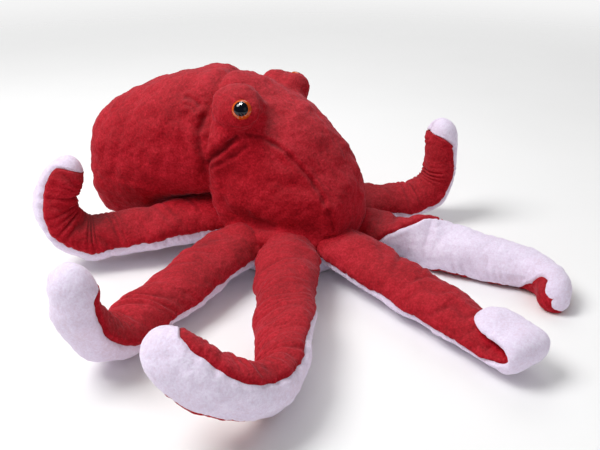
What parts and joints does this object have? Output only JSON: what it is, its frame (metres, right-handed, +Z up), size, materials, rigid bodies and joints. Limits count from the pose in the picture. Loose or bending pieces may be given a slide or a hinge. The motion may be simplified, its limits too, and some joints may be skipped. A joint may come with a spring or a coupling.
{
  "type": "plush octopus toy",
  "caption": "Soft plush octopus with a sack-like mantle behind its head, raised safety eyes and long two-tone arms that lift at the root and curl at the middle.",
  "frame": {"origin": "middle of the flat underside", "axes": "+Z up, forehead towards -Y, mantle towards +Y, the animal's right side at -X"},
  "size_m": [0.4059, 0.3636, 0.1237],
  "materials": {
    "red_plush": "short-pile minky plush, soft sheen",
    "white_plush": "short-pile minky plush, slightly curly",
    "polyester_filling": "loose polyester fibre",
    "amber_plastic": "polished, amber ring round a black pupil",
    "nylon": "moulded, unpainted"
  },
  "bodies": {
    "body": {"head_cover": "red_plush", "head_filling": "polyester_filling", "base_panel": "white_plush", "right_eye_hood": "red_plush", "right_eye": "amber_plastic", "right_eye_washer": "nylon", "left_eye_hood": "red_plush", "left_eye": "amber_plastic", "left_eye_washer": "nylon"},
    "mantle": {"mantle_cover": "red_plush", "mantle_filling": "polyester_filling"},
    "arm_r1_inner": {"arm_r1_inner_top_cover": "red_plush", "arm_r1_inner_under_cover": "white_plush", "arm_r1_inner_filling": "polyester_filling"},
    "arm_r1_outer": {"arm_r1_outer_top_cover": "red_plush", "arm_r1_outer_under_cover": "white_plush", "arm_r1_outer_filling": "polyester_filling"},
    "arm_r2_inner": {"arm_r2_inner_top_cover": "red_plush", "arm_r2_inner_under_cover": "white_plush", "arm_r2_inner_filling": "polyester_filling"},
    "arm_r2_outer": {"arm_r2_outer_top_cover": "red_plush", "arm_r2_outer_under_cover": "white_plush", "arm_r2_outer_filling": "polyester_filling"},
    "arm_r3_inner": {"arm_r3_inner_top_cover": "red_plush", "arm_r3_inner_under_cover": "white_plush", "arm_r3_inner_filling": "polyester_filling"},
    "arm_r3_outer": {"arm_r3_outer_top_cover": "red_plush", "arm_r3_outer_under_cover": "white_plush", "arm_r3_outer_filling": "polyester_filling"},
    "arm_r4_inner": {"arm_r4_inner_top_cover": "red_plush", "arm_r4_inner_under_cover": "white_plush", "arm_r4_inner_filling": "polyester_filling"},
    "arm_r4_outer": {"arm_r4_outer_top_cover": "red_plush", "arm_r4_outer_under_cover": "white_plush", "arm_r4_outer_filling": "polyester_filling"},
    "arm_l1_inner": {"arm_l1_inner_top_cover": "red_plush", "arm_l1_inner_under_cover": "white_plush", "arm_l1_inner_filling": "polyester_filling"},
    "arm_l1_outer": {"arm_l1_outer_top_cover": "red_plush", "arm_l1_outer_under_cover": "white_plush", "arm_l1_outer_filling": "polyester_filling"},
    "arm_l2_inner": {"arm_l2_inner_top_cover": "red_plush", "arm_l2_inner_under_cover": "white_plush", "arm_l2_inner_filling": "polyester_filling"},
    "arm_l2_outer": {"arm_l2_outer_top_cover": "red_plush", "arm_l2_outer_under_cover": "white_plush", "arm_l2_outer_filling": "polyester_filling"},
    "arm_l3_inner": {"arm_l3_inner_top_cover": "red_plush", "arm_l3_inner_under_cover": "white_plush", "arm_l3_inner_filling": "polyester_filling"},
    "arm_l3_outer": {"arm_l3_outer_top_cover": "red_plush", "arm_l3_outer_under_cover": "white_plush", "arm_l3_outer_filling": "polyester_filling"},
    "arm_l4_inner": {"arm_l4_inner_top_cover": "red_plush", "arm_l4_inner_under_cover": "white_plush", "arm_l4_inner_filling": "polyester_filling"},
    "arm_l4_outer": {"arm_l4_outer_top_cover": "red_plush", "arm_l4_outer_under_cover": "white_plush", "arm_l4_outer_filling": "polyester_filling"}
  },
  "joints": [
    {"name": "neck_nod", "type": "hinge", "parent": "body", "child": "mantle", "pos_m": [0, 0.0405, 0.092], "axis": [1, 0, 0], "range_deg": [0, 20]},
    {"name": "arm_r1_lift", "type": "hinge", "parent": "body", "child": "arm_r1_inner", "pos_m": [-0.01684, -0.04065, 0.02], "axis": [-0.9239, 0.3827, 0], "range_deg": [-30, 25]},
    {"name": "arm_r1_curl", "type": "hinge", "parent": "arm_r1_inner", "child": "arm_r1_outer", "pos_m": [-0.0706, -0.14315, 0.01314], "axis": [-0.879, 0.4768, 0.0084], "range_deg": [-40, 4]},
    {"name": "arm_r2_lift", "type": "hinge", "parent": "body", "child": "arm_r2_inner", "pos_m": [-0.04065, -0.01684, 0.02], "axis": [-0.3827, 0.9239, 0], "range_deg": [-30, 25]},
    {"name": "arm_r2_curl", "type": "hinge", "parent": "arm_r2_inner", "child": "arm_r2_outer", "pos_m": [-0.13803, -0.05868, 0.01826], "axis": [-0.2436, 0.591, -0.769], "range_deg": [-40, 15]},
    {"name": "arm_r3_lift", "type": "hinge", "parent": "body", "child": "arm_r3_inner", "pos_m": [-0.04065, 0.01684, 0.02], "axis": [0.3827, 0.9239, 0], "range_deg": [-30, 25]},
    {"name": "arm_r3_curl", "type": "hinge", "parent": "arm_r3_inner", "child": "arm_r3_outer", "pos_m": [-0.14161, 0.02821, 0.01571], "axis": [0.0792, 0.9966, -0.0216], "range_deg": [-40, 20]},
    {"name": "arm_r4_lift", "type": "hinge", "parent": "body", "child": "arm_r4_inner", "pos_m": [-0.01684, 0.04065, 0.0275], "axis": [0.9239, 0.3827, 0], "range_deg": [-30, 0]},
    {"name": "arm_r4_curl", "type": "hinge", "parent": "arm_r4_inner", "child": "arm_r4_outer", "pos_m": [-0.06191, 0.09854, 0.02034], "axis": [0.7613, 0.6473, -0.0377], "range_deg": [-35, 10]},
    {"name": "arm_l1_lift", "type": "hinge", "parent": "body", "child": "arm_l1_inner", "pos_m": [0.01684, -0.04065, 0.018], "axis": [-0.9239, -0.3827, 0], "range_deg": [-25, 20]},
    {"name": "arm_l1_curl", "type": "hinge", "parent": "arm_l1_inner", "child": "arm_l1_outer", "pos_m": [0.01731, -0.11811, 0.01407], "axis": [0.8932, -0.06, 0.4456], "range_deg": [-25, 20]},
    {"name": "arm_l2_lift", "type": "hinge", "parent": "body", "child": "arm_l2_inner", "pos_m": [0.04065, -0.01684, 0.018], "axis": [-0.3827, -0.9239, 0], "range_deg": [-30, 25]},
    {"name": "arm_l2_curl", "type": "hinge", "parent": "arm_l2_inner", "child": "arm_l2_outer", "pos_m": [0.07651, -0.05328, 0.01671], "axis": [-0.8431, -0.5374, 0.02], "range_deg": [-35, 20]},
    {"name": "arm_l3_lift", "type": "hinge", "parent": "body", "child": "arm_l3_inner", "pos_m": [0.04065, 0.01684, 0.02], "axis": [0.3827, -0.9239, 0], "range_deg": [-30, 25]},
    {"name": "arm_l3_curl", "type": "hinge", "parent": "arm_l3_inner", "child": "arm_l3_outer", "pos_m": [0.12111, 0.0568, 0.01678], "axis": [0.5023, -0.8647, -0.0051], "range_deg": [-30, 25]},
    {"name": "arm_l4_lift", "type": "hinge", "parent": "body", "child": "arm_l4_inner", "pos_m": [0.01684, 0.04065, 0.024], "axis": [0.9239, -0.3827, 0], "range_deg": [-30, 0]},
    {"name": "arm_l4_curl", "type": "hinge", "parent": "arm_l4_inner", "child": "arm_l4_outer", "pos_m": [0.06876, 0.11857, 0.02033], "axis": [0.8041, -0.5943, 0.0171], "range_deg": [-30, 25]}
  ]
}
